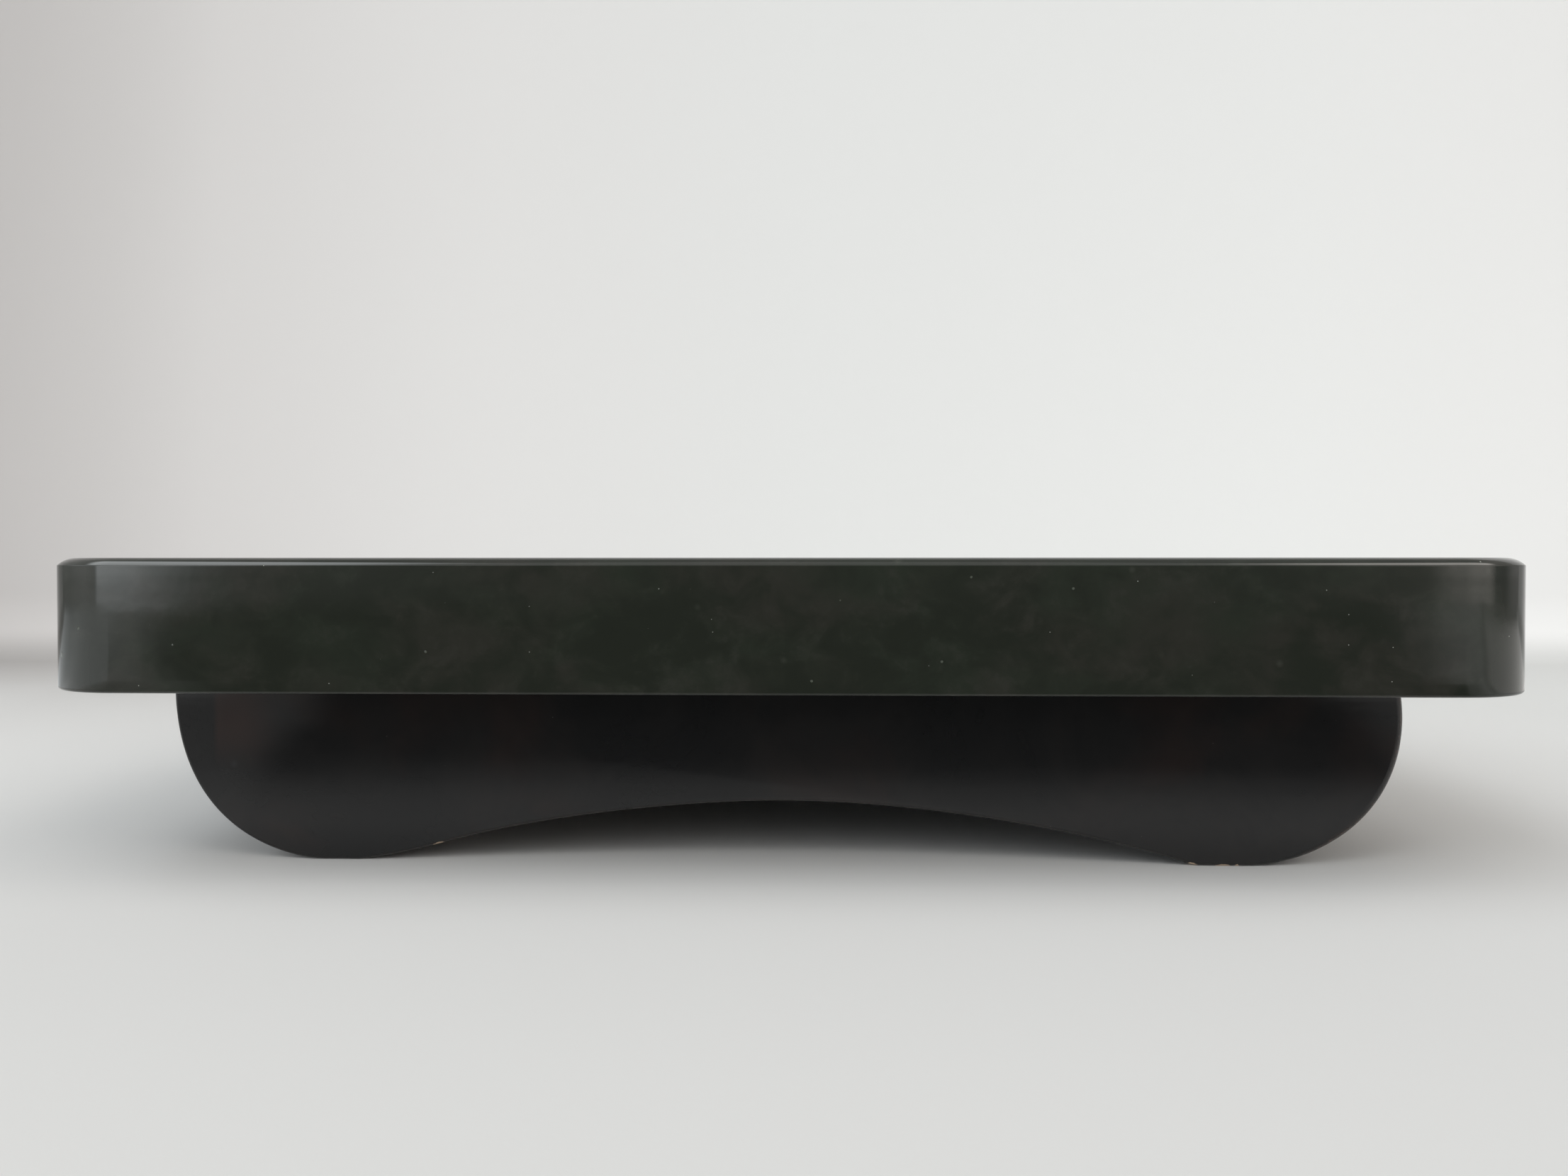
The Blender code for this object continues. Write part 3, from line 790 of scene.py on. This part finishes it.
def make_painted_reflection_card():
    """A glowing card on the floor that only reflections see: a painted reflection. It is black in front of the object,
    where the room is dark, and bright at the left and right, where the paper lies in the light of the windows.
    """
    bm = bmesh.new()
    corners = [(-2.6, -2.6), (2.6, -2.6), (2.6, 0.45), (-2.6, 0.45)]
    bm.faces.new([bm.verts.new((x, y, 0.0006)) for x, y in corners])
    mesh = bpy.data.meshes.new("flag")
    bm.to_mesh(mesh)
    bm.free()
    flag = bpy.data.objects.new("flag", mesh)
    bpy.context.scene.collection.objects.link(flag)
    m = bpy.data.materials.new("painted_reflection_card")
    t = Tree(m)
    place = t.node("ShaderNodeSeparateXYZ")
    t.link(object_coords(t), place.inputs[0])
    x, y, _ = place.outputs
    side = t.math(
        "MULTIPLY",
        t.math(
            "ARCTAN2",
            t.math("SUBTRACT", 0.0141, x),
            t.math("SUBTRACT", 0.262, y),
        ),
        180 / math.pi,
    )
    far = t.smooth(y, -0.90, -0.55, 1.0, 0.0)
    least = t.math("MULTIPLY_ADD", far, -0.5, 0.5)
    left = t.smooth(side, t.math("MULTIPLY_ADD", far, 2.5, 24.0), t.math("MULTIPLY_ADD", far, 2.0, 27.3), 1.0, 0.0)
    right = t.smooth(
        side, t.math("MULTIPLY_ADD", far, 1.5, -28.5), t.math("MULTIPLY_ADD", far, 2.5, -25.0), 0.0, 1.0
    )
    both_sides = t.math("MULTIPLY", left, right)
    both_sides = t.math("MULTIPLY_ADD", both_sides, t.math("SUBTRACT", 1.0, least), least)
    both_sides = t.math("MULTIPLY", both_sides, t.smooth(t.math("ABSOLUTE", side), 30.0, 40.0, 1.0, 0.0))
    # The painted reflection thins out towards the object, with a faint edge where the card stops.
    open_paper = t.math(
        "MULTIPLY", t.smooth(y, -0.262, -0.122), t.smooth(y, -0.270, -0.258, 0.0, 1.0)
    )
    black = t.math("MULTIPLY", t.math("SUBTRACT", 1.0, open_paper), both_sides)
    bright_left = t.math(
        "MULTIPLY", t.smooth(side, 28.0, 31.0), t.smooth(x, -0.60, -0.40, 1.0, 0.0)
    )
    bright_right = t.math(
        "MULTIPLY", t.smooth(side, -48.0, -38.0, 1.0, 0.0), t.smooth(x, 0.40, 0.60)
    )
    ends = t.smooth(t.math("ABSOLUTE", side), 95.0, 120.0, 1.0, 0.0)
    cover = t.math("MULTIPLY", ends, t.math("MAXIMUM", black, t.math("MAXIMUM", bright_left, bright_right)))
    light = t.mix(
        t.smooth(side, -5.0, 5.0),
        t.mix(t.smooth(x, 1.6, 2.3), (0.97, 0.95, 0.92), (0.25, 0.25, 0.24)),
        t.mix(t.smooth(side, 64.0, 80.0), (1.03, 1.06, 1.07), (0.76, 0.79, 0.80)),
    )
    # Painted reflection: the card glows, dark in front and bright at the sides, though it is no lamp.
    painted_reflection = t.node("ShaderNodeEmission")
    t.link(t.mix(t.math("MAXIMUM", bright_left, bright_right), (0.01, 0.01, 0.01), light), painted_reflection.inputs["Color"])
    clear = t.node("ShaderNodeBsdfTransparent")
    both = t.node("ShaderNodeMixShader")
    t.link(cover, both.inputs[0])
    t.link(clear.outputs[0], both.inputs[1])
    t.link(painted_reflection.outputs[0], both.inputs[2])
    out = t.node("ShaderNodeOutputMaterial")
    t.link(both.outputs[0], out.inputs["Surface"])
    mesh.materials.append(m)
    flag.visible_camera = False
    flag.visible_diffuse = False
    flag.visible_shadow = False
    flag.visible_transmission = False
    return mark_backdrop(flag)


make_painted_reflection_card()

# ---------------------------------------------------------------- light

# Soft light from all round, by direction: tall windows to the left and right of the camera, two
# lights overhead, and a dark room behind it. Each band is (lowest height in degrees and how soft
# that limit is, highest height and how soft that is, its share of light on matt surfaces, its
# light by azimuth). Azimuth 0 is in front of the object and grows towards the left as the camera
# sees it.
COOL, WARM, PLAIN = (0.96, 1.0, 1.02), (1.05, 0.995, 0.94), (1.0, 1.0, 0.985)
BANDS = {
    "low": (
        (-90.0, 1.0),
        (11.0, 3.0),
        1.0,
        [
            (-180, 0.40, PLAIN),
            (-110, 0.40, PLAIN),
            (-92, 0.50, PLAIN),
            (-80, 0.25, PLAIN),
            (-66, 0.36, PLAIN),
            (-60, 1.10, WARM),
            (-55, 1.60, WARM),
            (-38, 1.70, WARM),
            (-27, 1.35, WARM),
            (-25.3, 0.26, WARM),
            (-20, 0.10, PLAIN),
            (-10, 0.05, PLAIN),
            (12, 0.05, PLAIN),
            (20, 0.20, PLAIN),
            (25, 0.26, PLAIN),
            (26.5, 0.42, COOL),
            (27.8, 1.00, COOL),
            (28.9, 2.20, COOL),
            (30.5, 3.05, COOL),
            (44.5, 3.05, COOL),
            (47.5, 1.20, COOL),
            (50, 1.08, PLAIN),
            (64, 1.12, PLAIN),
            (76, 0.85, PLAIN),
            (90, 0.50, PLAIN),
            (108, 0.30, PLAIN),
            (180, 0.30, PLAIN),
        ],
    ),
    "mid": (
        (11.0, 3.0),
        (46.0, 4.0),
        1.0,
        [
            (-180, 0.30, PLAIN),
            (-112, 0.38, WARM),
            (-80, 0.80, WARM),
            (-62, 2.00, WARM),
            (-28, 2.20, WARM),
            (-22, 0.20, PLAIN),
            (22, 0.20, PLAIN),
            (27, 0.45, COOL),
            (30, 3.60, COOL),
            (47, 3.60, COOL),
            (54, 1.45, COOL),
            (92, 1.40, COOL),
            (102, 0.50, PLAIN),
            (180, 0.30, PLAIN),
        ],
    ),
    "high": (
        (46.0, 4.0),
        (70.0, 3.5),
        1.0,
        [
            (-180, 0.30, PLAIN),
            (-120, 0.30, PLAIN),
            (-79, 0.95, WARM),
            (-30, 0.95, PLAIN),
            (-20, 0.85, PLAIN),
            (20, 0.85, PLAIN),
            (30, 1.80, COOL),
            (76, 1.60, COOL),
            (84, 1.00, COOL),
            (122, 0.90, COOL),
            (131, 0.30, PLAIN),
            (180, 0.30, PLAIN),
        ],
    ),
    "overhead": (
        (46.0, 4.0),
        (70.0, 3.5),
        0.4,
        [
            (-180, 0.0, PLAIN),
            (-120, 0.0, PLAIN),
            (-113, 2.40, WARM),
            (-85, 2.40, WARM),
            (-79, 0.0, WARM),
            (74, 0.0, COOL),
            (84, 2.10, COOL),
            (122, 2.10, COOL),
            (131, 0.0, PLAIN),
            (180, 0.0, PLAIN),
        ],
    ),
    "top": ((70.0, 3.5), (91.0, 5.0), 1.0, [(-180, 0.74, PLAIN), (180, 0.74, PLAIN)]),
}
LIGHT_SCALE = 5.0  # the ramps hold light divided by this


def make_world():
    world = bpy.data.worlds.new("studio")
    bpy.context.scene.world = world
    t = Tree(world)
    direction = t.node("ShaderNodeTexCoord").outputs["Generated"]
    parts = t.node("ShaderNodeSeparateXYZ")
    t.link(direction, parts.inputs[0])
    x, y, z = parts.outputs
    azimuth = t.math(
        "ARCTAN2", t.math("MULTIPLY", x, -1.0), t.math("MULTIPLY", y, -1.0)
    )
    turn = t.math("MULTIPLY_ADD", azimuth, 1 / (2 * math.pi), 0.5)
    height = t.math("MULTIPLY", t.math("ARCSINE", z), 180 / math.pi)
    path = t.node("ShaderNodeLightPath")
    total = None
    for band, (low, high, matt, lights) in BANDS.items():
        ramp = t.ramp(
            turn,
            [
                (at / 360 + 0.5, tuple(c * level / LIGHT_SCALE for c in tint))
                for at, level, tint in lights
            ],
        )
        # Each band fades in exactly as the one below it fades out.
        up = 1.0 if band == "low" else t.smooth(height, low[0] - low[1], low[0] + low[1])
        down = t.smooth(height, high[0] - high[1], high[0] + high[1], 1.0, 0.0)
        level = t.math("MULTIPLY", up, down)
        if band == "low":
            # The windows are brighter above their sill.
            level = t.math("MULTIPLY", level, t.smooth(height, -0.62, -0.34, 0.76, 1.0))
        if matt != 1.0:
            level = t.math(
                "MULTIPLY", level, t.math("MULTIPLY_ADD", path.outputs["Is Diffuse Ray"], matt - 1.0, 1.0)
            )
        scaled = t.vmath("SCALE", ramp)
        t.link(level, scaled.node.inputs["Scale"])
        total = scaled if total is None else t.vmath("ADD", total, scaled)
    lit = t.node("ShaderNodeBackground")
    t.link(total, lit.inputs["Color"])
    lit.inputs["Strength"].default_value = LIGHT_SCALE
    seen = t.node("ShaderNodeBackground")
    seen.inputs["Color"].default_value = (0.72, 0.73, 0.73, 1.0)
    pick = t.node("ShaderNodeMixShader")
    t.link(path.outputs["Is Camera Ray"], pick.inputs[0])
    t.link(lit.outputs[0], pick.inputs[1])
    t.link(seen.outputs[0], pick.inputs[2])
    out = t.node("ShaderNodeOutputWorld")
    t.link(pick.outputs[0], out.inputs["Surface"])


make_world()
bpy.context.scene.view_settings.view_transform = "Standard"
